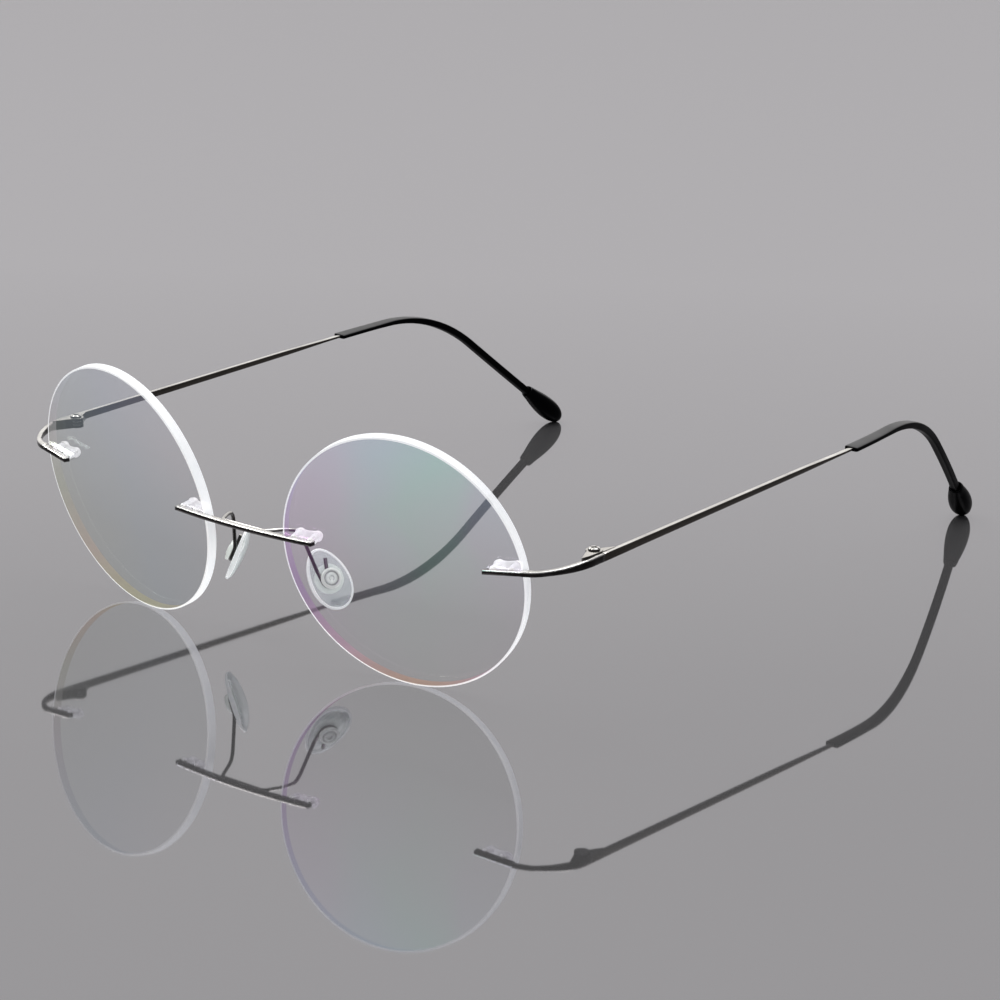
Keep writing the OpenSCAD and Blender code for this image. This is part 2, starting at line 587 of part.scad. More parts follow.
// ---- End bulbs: rounded soft caps over the end of the sleeve and of the blade
// share of the full half width at share t of the length: short cone, swell, round end
function bulb_share(t) = t < 0.12 ? 0.57 + 0.11 * t / 0.12
  : t < 0.6 ? 0.68 + 0.32 * sin((t - 0.12) / 0.48 * 90)
  : sqrt(max(0, 1 - pow((t - 0.6) / 0.4, 2.2)));
module bulb_frame() {
  s = bulb_start + bulb_length / 2;
  mid = side_at(s);
  translate([strip_mid - inward(mid[0]), mid[0], mid[1]])
    rotate([0, 0, asin((mid[0] - inward_y) / inward_r)]) rotate([heading(s), 0, 0]) children();
}
module bulb_body() difference() {
  shares = [for (i = [0:24]) i / 24];
  bulb_frame() intersection() {
    rotate([-90, 0, 0]) rotate_extrude() polygon(concat(
      [[0, -bulb_length / 2]],
      [for (t = shares) [max(0.001, bulb_width / 2 * bulb_share(t)), bulb_length * (t - 0.5)]],
      [[0, bulb_length / 2]]));
    rotate([90, 0, 90]) linear_extrude(height = 20, center = true) polygon(concat(
      [for (t = shares) [bulb_length * (t - 0.5), bulb_thickness / 2 * bulb_share(t) + 0.01]],
      [for (t = reversed(shares))
        [bulb_length * (t - 0.5), -bulb_thickness / 2 * bulb_share(t) - 0.01]]));
  }
  stretch(sleeve_end - 6, sleeve_end + 0.05, 8, sleeve_tall, sleeve_wide, tip_fit);
  stretch(sleeve_end - 6, blade_end + 0.1, 8, blade_tall, blade_wide, tip_fit);
}
module tip_bulb_left() color(black) left() bulb_body();
module tip_bulb_right() color(black) right() bulb_body();

lens_left();
lens_right();
bridge_bar();
mounting_pins();
lens_plugs();
pad_wire();
pad_core_left();
pad_core_right();
pad_cushion_left();
pad_cushion_right();
endpiece_left();
endpiece_right();
endpiece_hinge_left();
endpiece_hinge_right();
hinge_screws();
hinge_washers();
temple_left();
temple_right();
temple_hinge_left();
temple_hinge_right();
tip_sleeve_left();
tip_sleeve_right();
tip_bulb_left();
tip_bulb_right();
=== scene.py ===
# Rimless glasses, standing open. The CAD frame has x to the wearer's left, y to the back (the
# temples run along +y) and z up. Sizes are in mm; add_mesh turns them into metres.
# The glasses rest on the two lens rims in front and the two tip bulbs behind.
import json
import math

import bmesh
import bpy
from mathutils import Matrix, Vector


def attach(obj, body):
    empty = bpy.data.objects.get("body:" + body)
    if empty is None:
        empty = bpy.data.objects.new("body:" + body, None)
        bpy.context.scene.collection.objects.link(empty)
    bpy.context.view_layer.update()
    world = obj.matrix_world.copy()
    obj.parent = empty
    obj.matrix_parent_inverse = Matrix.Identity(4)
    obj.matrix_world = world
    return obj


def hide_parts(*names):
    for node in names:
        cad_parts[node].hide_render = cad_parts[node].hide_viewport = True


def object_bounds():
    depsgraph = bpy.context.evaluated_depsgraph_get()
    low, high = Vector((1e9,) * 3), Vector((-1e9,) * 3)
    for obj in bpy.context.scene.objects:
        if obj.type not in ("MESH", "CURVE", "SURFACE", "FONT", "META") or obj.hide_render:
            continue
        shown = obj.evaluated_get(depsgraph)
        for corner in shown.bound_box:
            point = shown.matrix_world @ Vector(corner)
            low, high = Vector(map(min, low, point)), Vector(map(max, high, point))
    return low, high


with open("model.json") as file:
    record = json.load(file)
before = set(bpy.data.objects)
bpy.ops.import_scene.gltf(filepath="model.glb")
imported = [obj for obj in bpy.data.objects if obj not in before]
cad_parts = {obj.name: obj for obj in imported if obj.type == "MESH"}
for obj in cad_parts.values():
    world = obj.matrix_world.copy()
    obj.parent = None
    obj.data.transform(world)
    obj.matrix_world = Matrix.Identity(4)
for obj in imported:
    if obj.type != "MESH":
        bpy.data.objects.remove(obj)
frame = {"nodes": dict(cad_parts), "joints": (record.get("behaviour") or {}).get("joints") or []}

CAD_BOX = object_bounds()
MM = 0.001
NODES = frame["nodes"]
JOINTS = {joint["name"]: joint for joint in frame["joints"]}
SIDES = ((1, "left"), (-1, "right"))    # sign of x, word used in the names

# ------------------------------------------------------------------ sizes, in mm
# lenses
LENS_R, LENS_T = 23.0, 1.8
LENS_CURVE = 400.0                      # radius of both faces
LENS_GAP = 17.6                         # between the lenses, along x
WRAP, TILT = math.radians(9.7), math.radians(11.0)
LENS_X = LENS_GAP / 2 + LENS_R * math.cos(WRAP)
LENS_Y, LENS_Z = 5.15642, -0.655
LENS_CENTRE = Vector((LENS_X, LENS_Y, LENS_Z))
LENS_ROUND = 0.14                       # rounding of both rims
RIM_LINE = 0.34                         # width of the painted highlight line around the front face
HOLE_R = 0.75
HOLE_FAR, HOLE_NEAR = 20.6, 17.3        # distance of the holes from the lens centre
BRIDGE_RISE = 1.03                      # height of the bridge holes above the lens centre
ARM_START = HOLE_NEAR - 1.4             # the endpiece line rises from here to the lens edge
ARM_RISE = (2.0, 2.85)                  # its height at those two places
RISE_DEPTH = -0.45                      # distance along the lens axis where heights are taken

# nose pads
PAD_LENGTH, PAD_WIDTH, PAD_DEPTH = 11.3, 7.2, 1.65
PAD_CROWN_R = 15.0
WIRE_R = 0.33
PAD_FACE = -WIRE_R - 0.05               # wire side of the cushion, along the swivel axis
PAD_FRONTAL, PAD_SPLAY, PAD_ROLL = (math.radians(angle) for angle in (22, 32.5, 23))

# temples; distances along a temple start at its hinge
TEMPLE_LENGTH, EAR_LENGTH = 150.5, 58.8
STRAIGHT = TEMPLE_LENGTH - EAR_LENGTH
STRIP_T = 0.75
HINGE_TO_STRIP, STRIP_GAP = 1.4, 0.05
SLOPE, EAR_DROP = math.radians(1.36), math.radians(38.9)
BEND_R, EAR_R = 37.1, 1800.0            # radii in the side view: the bend, the part behind it
INWARD_R = 225.0                        # radius of the inward curve in the top view
INWARD_LEAD = 17.7                      # it starts this far before the bend
BULB_L, BULB_W, BULB_T = 12.0, 4.6, 4.4
SLEEVE_L, SLEEVE_W, SLEEVE_T = 62.4, 2.8, 0.9
SLEEVE_END = TEMPLE_LENGTH - BULB_L + 1.2
SLEEVE_START = SLEEVE_END - SLEEVE_L

# lens axes for the left lens: outwards, back, up
LENS_OUT = Vector((math.cos(WRAP), math.sin(WRAP), 0))
LENS_BACK = Vector((-math.sin(WRAP) * math.cos(TILT),
                    math.cos(WRAP) * math.cos(TILT),
                    math.sin(TILT)))
LENS_UP = Vector((math.sin(WRAP) * math.sin(TILT),
                  -math.cos(WRAP) * math.sin(TILT),
                  math.cos(TILT)))


# ------------------------------------------------------------------ shading
class Shading:
    """Lays out the node tree of a material or a world."""

    def __init__(self, owner, output="OutputMaterial"):
        owner.use_nodes = True
        self.owner = owner
        self.tree = owner.node_tree
        self.tree.nodes.clear()
        self.output = self.node(output)

    def node(self, kind, inputs=(), **settings):
        """Add a node; each input is a socket to link, a number, a vector or an RGB colour."""
        node = self.tree.nodes.new("ShaderNode" + kind)
        for key, value in settings.items():
            setattr(node, key, value)
        for key, value in dict(inputs).items():
            socket = node.inputs[key]
            if isinstance(value, bpy.types.NodeSocket):
                self.tree.links.new(value, socket)
            elif socket.type == "RGBA":
                socket.default_value = (*value, 1)
            else:
                socket.default_value = value
        return node

    def shader(self, kind, **inputs):
        named = {key.replace("_", " "): value for key, value in inputs.items()}
        return self.node(kind, named).outputs[0]

    def finish(self, surface):
        self.tree.links.new(surface, self.output.inputs["Surface"])
        return self.owner

    def coords(self, kind="Object"):
        return self.node("TexCoord").outputs[kind]

    def split(self, vector):
        return self.node("SeparateXYZ", {"Vector": vector}).outputs

    def along(self, vector, direction):
        dot = self.node("VectorMath", {0: vector, 1: direction}, operation="DOT_PRODUCT")
        return dot.outputs["Value"]

    def noise(self, scale, detail, roughness=0.5):
        if not isinstance(scale, tuple):
            scale = (scale,) * 3
        mapping = self.node("Mapping", {"Vector": self.coords(), "Scale": scale})
        return self.node("TexNoise", {
            "Vector": mapping.outputs["Vector"], "Scale": 1.0,
            "Detail": detail, "Roughness": roughness}).outputs["Fac"]

    def ramp(self, factor, stops):
        """stops: (position, RGB)."""
        node = self.node("ValToRGB", {"Fac": factor})
        elements = node.color_ramp.elements
        while len(elements) > 1:
            elements.remove(elements[-1])
        for i, (position, colour) in enumerate(stops):
            stop = elements[0] if i == 0 else elements.new(position)
            stop.position = position
            stop.color = (*colour, 1)
        return node.outputs["Color"]

    def remap(self, value, over=(0.0, 1.0), to=(0.0, 1.0), **settings):
        """Carry the range `over` to the range `to`."""
        return self.node("MapRange", {
            "Value": value, "From Min": over[0], "From Max": over[1],
            "To Min": to[0], "To Max": to[1]}, **settings).outputs["Result"]

    def mix(self, factor, a, b):
        return self.node("Mix", {0: factor, 6: a, 7: b}, data_type="RGBA").outputs[2]

    def mix_value(self, factor, a, b):
        return self.node("Mix", {0: factor, 2: a, 3: b}, data_type="FLOAT").outputs[0]

    def mix_shader(self, factor, a, b):
        return self.node("MixShader", {0: factor, 1: a, 2: b}).outputs[0]

    def add_shader(self, a, b):
        return self.node("AddShader", {0: a, 1: b}).outputs[0]

    def bump(self, height, strength, distance, normal=None):
        inputs = {"Strength": strength, "Distance": distance, "Height": height}
        if normal is not None:
            inputs["Normal"] = normal
        return self.node("Bump", inputs).outputs["Normal"]


def new_material(name):
    return Shading(bpy.data.materials.new(name))


def scaled(colour, factor):
    return tuple(channel * factor for channel in colour)


def metal(name, bright, side, dark, roughness, brush=(900, 60, 900), soften=0.0):
    """Polished gunmetal with painted light and shade: faces that look up are painted bright,
    upright ones painted darker, downward ones darker still.

    brush is the noise scale of the grain; soften is the radius in mm of the edge rounding in the
    shading normal, which also spreads the painted top light over the rounded edges.
    """
    m = new_material(name)
    broad = m.noise(160, detail=3.0)
    grain = m.noise(brush, detail=5.0, roughness=0.6)
    speck = m.noise(2600, detail=2.0)
    geometry = m.node("NewGeometry").outputs
    eased = None
    if soften:
        eased = m.node("Bevel", {"Radius": soften * MM}, samples=6).outputs["Normal"]
    # painted light and shade: faces looking up take the bright tone, upright ones the side tone,
    # downward ones the dark tone
    facing_up = m.split(eased or geometry["Normal"])["Z"]
    top_light = m.remap(facing_up, over=(0.12, 0.80))
    underside_shade = m.remap(facing_up, over=(-0.75, -0.12))
    tone = m.mix(underside_shade, dark, side)
    tone = m.mix(top_light, tone, bright)
    blotches = m.remap(broad, over=(0.35, 0.65), to=(0.0, 0.30))
    tone = m.mix(blotches, tone, scaled(side, 0.6))
    streaks = m.remap(grain, over=(0.40, 0.75), to=(0.0, 0.22))
    tone = m.mix(streaks, tone, scaled(dark, 0.5))
    edges = m.remap(geometry["Pointiness"], over=(0.52, 0.62), to=(0.0, 0.03))
    tone = m.mix(edges, tone, tuple(min(1.0, channel) for channel in scaled(bright, 1.1)))
    rough = m.remap(grain, over=(0.3, 0.75), to=roughness)
    normal = m.bump(grain, strength=0.10, distance=0.00002, normal=eased)
    normal = m.bump(speck, strength=0.06, distance=0.00001, normal=normal)
    return m.finish(m.shader("BsdfPrincipled", Base_Color=tone, Metallic=1.0,
                             Roughness=rough, Normal=normal))


def rubber(name, dark, light, roughness):
    """Satin black silicone: faint dust and a soft painted sheen on the faces that look up."""
    m = new_material(name)
    fine = m.noise(2400, detail=3.0, roughness=0.6)
    dust = m.noise(420, detail=5.0, roughness=0.65)
    cloud = m.noise(90, detail=3.0)
    facing_up = m.split(m.node("NewGeometry").outputs["Normal"])["Z"]
    top_light = m.remap(facing_up, over=(0.60, 0.98))
    colour = m.mix(m.remap(dust, over=(0.55, 0.8), to=(0.0, 0.35)), dark, light)
    # painted sheen: faces that look up are painted six times lighter
    colour = m.mix(top_light, colour, scaled(light, 6.0))
    colour = m.mix(m.remap(cloud, over=(0.4, 0.7), to=(0.0, 0.35)), colour, dark)
    return m.finish(m.shader(
        "BsdfPrincipled",
        Base_Color=colour,
        Roughness=m.remap(cloud, over=(0.3, 0.7), to=roughness),
        Normal=m.bump(fine, strength=0.18, distance=0.00002),
        Specular_IOR_Level=m.remap(top_light, to=(0.02, 0.42))))


def lens_face(name, side, top, low, sheen):
    """Thin clear plate with a coating whose faint tint drifts over the face.

    top and low are tint ramps from the inner to the outer side; sheen is the greatest strength of
    the painted glow.
    """
    m = new_material(name)
    place = m.split(m.coords())
    across = m.remap(place["X"], over=(side * 0.009, side * 0.054))
    height = m.remap(place["Z"], over=(-0.024, 0.021))
    drift = m.remap(m.noise(34, detail=2.0), over=(0.3, 0.7), to=(-0.18, 0.18))
    drifted = m.node("Math", {0: across, 1: drift}, operation="ADD").outputs[0]
    top_tint = m.ramp(drifted, top)
    low_tint = m.ramp(drifted, low)
    tint = m.mix(height, low_tint, top_tint)

    # how much is reflected, on the faces towards the eye and on those seen from behind
    grazing = m.node("LayerWeight", {"Blend": 0.5}).outputs["Facing"]
    near = m.remap(grazing, over=(0.35, 1.0), to=(0.135, 0.66))
    far = m.remap(grazing, over=(0.35, 1.0), to=(0.016, 0.07))
    backfacing = m.node("NewGeometry").outputs["Backfacing"]
    reflected = m.mix_value(backfacing, near, far)
    smear = m.noise((130, 130, 60), detail=5.0, roughness=0.6)
    clear = m.shader("BsdfTransparent", Color=(0.985, 0.992, 0.99))
    gloss = m.shader("BsdfGlossy", Color=tint,
                     Roughness=m.remap(smear, over=(0.35, 0.7), to=(0.015, 0.06)),
                     Normal=m.bump(m.noise(60, detail=2.0), strength=0.03, distance=0.0002))
    plate = m.mix_shader(reflected, clear, gloss)

    # painted sheen: the face towards the eye glows in the coating's tint, strongest near its top
    glow = m.remap(height, over=(0.35, 0.95), to=(0.012, sheen))
    strength = m.mix_value(backfacing, glow, 0.0)
    return m.finish(m.add_shader(plate, m.shader("Emission", Color=tint, Strength=strength)))


def lens_edge(name, inner):
    """Ground edge: finely frosted white from outside with a painted white glow, a clear tinted band
    with a painted glow in the tint through the glass.

    inner is the ramp of that tint from the bottom of the lens to its top.
    """
    m = new_material(name)
    grind = m.noise(1500, detail=4.0, roughness=0.6)
    cloud = m.noise(240, detail=3.0)
    colour = m.ramp(cloud, [(0.3, (0.86, 0.88, 0.90)), (0.65, (0.98, 0.99, 1.0))])
    rough = m.remap(grind, over=(0.3, 0.7), to=(0.35, 0.6))
    normal = m.bump(grind, strength=0.35, distance=0.00003)
    solid = m.shader("BsdfPrincipled", Base_Color=colour, Roughness=rough, Normal=normal,
                     Specular_IOR_Level=0.6)
    translucent = m.shader("BsdfTranslucent", Color=colour, Normal=normal)
    clear = m.shader("BsdfTransparent", Color=(0.95, 0.97, 0.98))
    frosted = m.mix_shader(0.45, solid, translucent)
    clearness = m.remap(cloud, over=(0.3, 0.7), to=(0.10, 0.24))
    frosted = m.mix_shader(clearness, frosted, clear)
    # painted glow: the frosted edge gives off a faint white light
    glow = m.shader("Emission", Color=(0.97, 0.99, 1.0), Strength=0.26)
    outside = m.add_shader(frosted, glow)

    height = m.remap(m.split(m.coords())["Z"], over=(-0.0235, 0.021))
    tint = m.ramp(height, inner)
    through = m.shader("BsdfTransparent", Color=tint)
    # painted glow in the tint seen through the glass
    soft_glow = m.shader("Emission", Color=tint, Strength=0.62)
    glow_share = m.remap(cloud, over=(0.3, 0.7), to=(0.22, 0.34))
    inside = m.mix_shader(glow_share, through, soft_glow)
    backfacing = m.node("NewGeometry").outputs["Backfacing"]
    return m.finish(m.mix_shader(backfacing, outside, inside))


def milky(name, colours, clearness, roughness, glow=0.0, ridges=False):
    """Clear soft plastic: partly see-through, partly milky, with a wet-looking surface.

    colours are mixed in clouds; clearness is the share of light let straight through; glow is the
    strength of a painted glow in the colours; ridges paints shade into the hollows.
    """
    m = new_material(name)
    cloud = m.noise(300, detail=3.0)
    grain = m.noise(1800, detail=3.0, roughness=0.6)
    colour = m.ramp(cloud, [(0.3, colours[0]), (0.7, colours[1])])
    if ridges:  # painted shade: darken the hollows
        pointiness = m.node("NewGeometry").outputs["Pointiness"]
        ridge = m.remap(pointiness, over=(0.46, 0.53))
        colour = m.mix(ridge, scaled(colours[0], 0.38), colour)
    rough = m.remap(grain, over=(0.3, 0.7), to=roughness)
    normal = m.bump(grain, strength=0.15, distance=0.00002)
    solid = m.shader("BsdfPrincipled", Base_Color=colour, Roughness=rough, Normal=normal,
                     Specular_IOR_Level=0.55)
    body = m.mix_shader(0.5, solid, m.shader("BsdfTranslucent", Color=colour))
    clear = m.shader("BsdfTransparent", Color=(0.97, 0.985, 0.98))
    grazing = m.node("LayerWeight", {"Blend": 0.45}).outputs["Facing"]
    see_through = m.remap(grazing, over=(0.25, 0.95), to=(clearness, clearness * 0.12))
    body = m.mix_shader(see_through, body, clear)
    gloss = m.shader("BsdfGlossy", Roughness=0.08, Normal=normal)
    surface = m.mix_shader(m.shader("Fresnel", IOR=1.42), body, gloss)
    # painted glow: the plastic gives off a faint light in its own colours
    if glow:
        surface = m.add_shader(surface, m.shader("Emission", Color=colour, Strength=glow))
    return m.finish(surface)


# bright, side and dark are the painted lit and shaded tones of each metal
FRAME_METAL = metal(
    "frame_metal", bright=(1.0, 0.98, 0.95), side=(0.030, 0.025, 0.023),
    dark=(0.012, 0.011, 0.011), roughness=(0.10, 0.20), soften=0.45)
WIRE_METAL = metal(
    "wire_metal", bright=(0.85, 0.83, 0.80), side=(0.05, 0.045, 0.042),
    dark=(0.02, 0.02, 0.02), roughness=(0.12, 0.24), brush=(1200, 1200, 1200))
TEMPLE_METAL = metal(
    "temple_metal", bright=(1.0, 0.97, 0.93), side=(0.125, 0.110, 0.092),
    dark=(0.02, 0.018, 0.016), roughness=(0.12, 0.24))
PIN_METAL = metal(
    "pin_metal", bright=(0.92, 0.91, 0.88), side=(0.50, 0.49, 0.47),
    dark=(0.30, 0.29, 0.28), roughness=(0.12, 0.24), brush=(1200, 1200, 1200))
SCREW_METAL = metal(
    "screw_metal", bright=(0.95, 0.93, 0.90), side=(0.03, 0.027, 0.025),
    dark=(0.015, 0.015, 0.015), roughness=(0.15, 0.3), brush=(1500, 1500, 300))
HINGE_METAL = metal(
    "hinge_metal", bright=(0.86, 0.83, 0.79), side=(0.022, 0.020, 0.018),
    dark=(0.012, 0.012, 0.012), roughness=(0.14, 0.28), brush=(1100, 1100, 400))
TIP_SILICONE = rubber(
    "tip_silicone", dark=(0.0008, 0.0008, 0.0010), light=(0.0022, 0.0022, 0.0026),
    roughness=(0.26, 0.40))
WASHER_PLASTIC = milky(
    "washer_plastic", colours=((0.80, 0.80, 0.78), (0.9, 0.9, 0.88)),
    clearness=0.15, roughness=(0.4, 0.6))
PLUG_PLASTIC = milky(
    "plug_plastic", colours=((0.90, 0.86, 0.90), (1.0, 0.98, 1.0)),
    clearness=0.62, roughness=(0.08, 0.22), glow=0.24, ridges=True)
PAD_CORE = milky(
    "pad_core_plastic", colours=((0.82, 0.86, 0.83), (0.98, 1.0, 0.96)),
    clearness=0.36, roughness=(0.08, 0.20), glow=0.16, ridges=True)
PAD_SILICONE = milky(
    "pad_silicone", colours=((0.74, 0.82, 0.84), (0.92, 0.97, 0.98)),
    clearness=0.74, roughness=(0.16, 0.30), glow=0.045)
# whiter, glowing copy of the pad silicone for the rim band: a painted highlight
PAD_RIM_HIGHLIGHT = milky(
    "pad_rim_painted_highlight", colours=((0.94, 0.97, 0.98), (1.0, 1.0, 1.0)),
    clearness=0.10, roughness=(0.2, 0.36), glow=0.26)
COATING_LEFT = lens_face(
    "lens_coating_left", side=1, sheen=0.135,
    top=[(0.0, (0.74, 0.50, 0.95)), (0.22, (0.70, 0.62, 1.0)), (0.42, (0.42, 0.78, 1.0)),
         (0.62, (0.22, 0.92, 0.80)), (0.85, (0.30, 0.85, 0.80)), (1.0, (0.45, 0.65, 0.85))],
    low=[(0.0, (0.95, 0.40, 0.85)), (0.3, (0.80, 0.62, 0.70)), (0.6, (0.72, 0.70, 0.62)),
         (1.0, (1.0, 0.58, 0.75))])
COATING_RIGHT = lens_face(
    "lens_coating_right", side=-1, sheen=0.075,
    top=[(0.0, (0.84, 0.76, 0.92)), (0.4, (0.68, 0.76, 0.95)), (1.0, (0.74, 0.84, 0.88))],
    low=[(0.0, (0.80, 0.82, 0.82)), (0.5, (0.66, 0.84, 0.90)), (1.0, (0.88, 0.90, 0.60))])
# pale, glowing line along the front rim: a painted highlight
RIM_LINE_HIGHLIGHT = milky(
    "lens_rim_painted_highlight", colours=((0.94, 0.96, 0.98), (1.0, 1.0, 1.0)),
    clearness=0.42, roughness=(0.1, 0.2), glow=0.34)
HOLE_WALL = lens_edge(
    "lens_hole_wall", inner=[(0.0, (0.96, 0.96, 0.98)), (1.0, (0.98, 0.98, 1.0))])
EDGE_LEFT = lens_edge(
    "lens_ground_edge_left",
    inner=[(0.0, (1.0, 0.72, 0.55)), (0.10, (0.96, 0.70, 0.82)), (0.3, (0.74, 0.58, 0.84)),
           (0.55, (0.80, 0.68, 0.90)), (0.8, (0.80, 0.84, 0.98)), (1.0, (0.86, 0.92, 1.0))])
EDGE_RIGHT = lens_edge(
    "lens_ground_edge_right",
    inner=[(0.0, (0.95, 0.90, 0.62)), (0.15, (1.0, 0.82, 0.72)), (0.4, (0.86, 0.86, 0.78)),
           (0.7, (0.92, 0.86, 0.90)), (1.0, (0.88, 0.92, 0.95))])


# ------------------------------------------------------------------ mesh helpers
def mirrored(point, side):
    return Vector((point.x * side, point.y, point.z))


def angles(count):
    return [2 * math.pi * i / count for i in range(count)]


def superellipse(width, height, exponent, count):
    def bent(value):
        return math.copysign(abs(value) ** (2 / exponent), value)

    return [(width / 2 * bent(math.cos(angle)), height / 2 * bent(math.sin(angle)))
            for angle in angles(count)]


def add_mesh(name, verts, faces, materials, smooth=True):
    """Object from points in mm, with its faces turned outwards."""
    mesh = bpy.data.meshes.new(name)
    mesh.from_pydata([tuple(Vector(v) * MM) for v in verts], [], faces)
    mesh.update()
    obj = bpy.data.objects.new(name, mesh)
    bpy.context.scene.collection.objects.link(obj)
    for material in materials:
        mesh.materials.append(material)
    if smooth:
        for poly in mesh.polygons:
            poly.use_smooth = True
    bm = bmesh.new()
    bm.from_mesh(mesh)
    bmesh.ops.recalc_face_normals(bm, faces=bm.faces)
    bm.to_mesh(mesh)
    bm.free()
    return obj


def skin(rings, cap=True):
    """Points and faces over closed rings of equal length; caps fan from the ring's middle."""
    count = len(rings[0])
    verts = [point for ring in rings for point in ring]
    faces = []
    for i in range(len(rings) - 1):
        low, high = i * count, (i + 1) * count
        for k in range(count):
            after = (k + 1) % count
            faces.append((low + k, low + after, high + after, high + k))
    if cap:
        for i in (0, len(rings) - 1):
            middle = len(verts)
            verts.append(sum(rings[i], Vector()) / count)
            for k in range(count):
                a, b = i * count + k, i * count + (k + 1) % count
                faces.append((b, a, middle) if i == 0 else (a, b, middle))
    return verts, faces


def revolve(profile, place, segments):
    """Turn (radius, height) points about an axis; a radius of 0 is a pole.

    place(x, y, height) gives the point in space.
    """
    verts, faces, starts = [], [], []
    for radius, height in profile:
        starts.append(len(verts))
        if radius == 0:
            verts.append(place(0, 0, height))
        else:
            verts += [place(radius * math.cos(angle), radius * math.sin(angle), height)
                      for angle in angles(segments)]
    for i in range(len(profile) - 1):
        a, b = starts[i], starts[i + 1]
        for k in range(segments):
            after = (k + 1) % segments
            if profile[i][0] == 0:
                faces.append((a, b + k, b + after))
            elif profile[i + 1][0] == 0:
                faces.append((a + k, b, a + after))
            else:
                faces.append((a + k, b + k, b + after, a + after))
    return verts, faces


def join(parts):
    verts, faces = [], []
    for part_verts, part_faces in parts:
        base = len(verts)
        verts += part_verts
        faces += [tuple(base + i for i in face) for face in part_faces]
    return verts, faces


def split_edges(obj, degrees):
    modifier = obj.modifiers.new("keep_edges", "EDGE_SPLIT")
    modifier.split_angle = math.radians(degrees)
    return modifier


def subdivide(obj):
    modifier = obj.modifiers.new("subsurf", "SUBSURF")
    modifier.levels = modifier.render_levels = 1


def register(obj, body, piece):
    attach(obj, body)
    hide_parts(piece)


# ------------------------------------------------------------------ lenses
LENS_SEGMENTS = 192
HOLE_SEGMENTS = 28
LENS_RINGS = 22
ROUND_STEPS = 4


def bulge(radius):
    """How far a face stands forward at this radius, against the lens edge."""
    return math.sqrt(LENS_CURVE ** 2 - radius ** 2) - math.sqrt(LENS_CURVE ** 2 - LENS_R ** 2)


def lens_point(out, back, up, side=1):
    """Lens-local place to the CAD frame."""
    return mirrored(LENS_CENTRE + out * LENS_OUT + back * LENS_BACK + up * LENS_UP, side)


def hole_place(out, rise):
    """(out, up) of a hole that is `rise` above the lens centre in the CAD frame."""
    return out, (rise - RISE_DEPTH * LENS_BACK.z) / LENS_UP.z


def arm_rise(out):
    start, end = ARM_RISE
    return start + (end - start) * (out - ARM_START) / (LENS_R - ARM_START)


BRIDGE_HOLES = [hole_place(-out, BRIDGE_RISE) for out in (HOLE_FAR, HOLE_NEAR)]
ENDPIECE_HOLES = [hole_place(out, arm_rise(out)) for out in (HOLE_NEAR, HOLE_FAR)]
HOLES = BRIDGE_HOLES + ENDPIECE_HOLES


def lens_profile():
    """(radius, distance back) from the front pole to the back pole, and the edge's range."""
    flat = LENS_R - LENS_ROUND
    radii = [flat * i / LENS_RINGS for i in range(LENS_RINGS + 1)]
    points = [(r, -bulge(r)) for r in radii]
    points.insert(-1, (LENS_R - RIM_LINE, -bulge(LENS_R - RIM_LINE)))
    edge_start = len(points) - 1
    turns = [math.radians(90 * i / ROUND_STEPS) for i in range(ROUND_STEPS + 1)]
    for turn in turns[1:]:
        points.append((flat + LENS_ROUND * math.sin(turn),
                       LENS_ROUND - LENS_ROUND * math.cos(turn)))
    points += [(LENS_R, LENS_T / 3), (LENS_R, LENS_T * 2 / 3)]
    for turn in turns:
        points.append((flat + LENS_ROUND * math.cos(turn),
                       LENS_T - LENS_ROUND + LENS_ROUND * math.sin(turn)))
    edge_end = len(points) - 1
    points += [(r, LENS_T - bulge(r)) for r in reversed(radii[:-1])]
    return points, edge_start, edge_end


def hole_cutter(side):
    parts = []
    for out, up in HOLES:
        rings = [[lens_point(out + HOLE_R * math.cos(angle), back,
                             up + HOLE_R * math.sin(angle), side)
                  for angle in angles(HOLE_SEGMENTS)]
                 for back in (-2.0, 4.0)]
        verts, faces = skin(rings, cap=False)
        faces.append(tuple(range(HOLE_SEGMENTS)))
        faces.append(tuple(range(2 * HOLE_SEGMENTS - 1, HOLE_SEGMENTS - 1, -1)))
        parts.append((verts, faces))
    return add_mesh("cutter", *join(parts), [HOLE_WALL], smooth=False)


def drill(lens, side):
    """Swap the lens mesh for one with the holes cut."""
    cutter = hole_cutter(side)
    boolean = lens.modifiers.new("holes", "BOOLEAN")
    boolean.operation = "DIFFERENCE"
    boolean.solver = "EXACT"
    boolean.object = cutter
    depsgraph = bpy.context.evaluated_depsgraph_get()
    mesh = bpy.data.meshes.new_from_object(lens.evaluated_get(depsgraph))
    lens.modifiers.clear()
    lens.data = mesh
    bpy.data.objects.remove(cutter)
    return mesh


def mark_faces(mesh, side):
    """Give the painted highlight line along the rim and the hole walls their materials."""
    # the boolean may already have carried the cutter's material over
    if len(mesh.materials) < 3:
        mesh.materials.append(HOLE_WALL)
    mesh.materials.append(RIM_LINE_HIGHLIGHT)
    hole_slot, line_slot = 2, len(mesh.materials) - 1
    axis = mirrored(LENS_BACK, side)
    for poly in mesh.polygons:
        local = mirrored(poly.center / MM, side) - LENS_CENTRE
        out, up = local.dot(LENS_OUT), local.dot(LENS_UP)
        if math.hypot(out, up) > LENS_R - RIM_LINE and local.dot(LENS_BACK) < 0.13:
            poly.material_index = line_slot
        on_wall = any(abs(math.hypot(out - hole_out, up - hole_up) - HOLE_R) < 0.06
                      for hole_out, hole_up in HOLES)
        if on_wall and abs(poly.normal.dot(axis)) < 0.5:
            poly.material_index = hole_slot


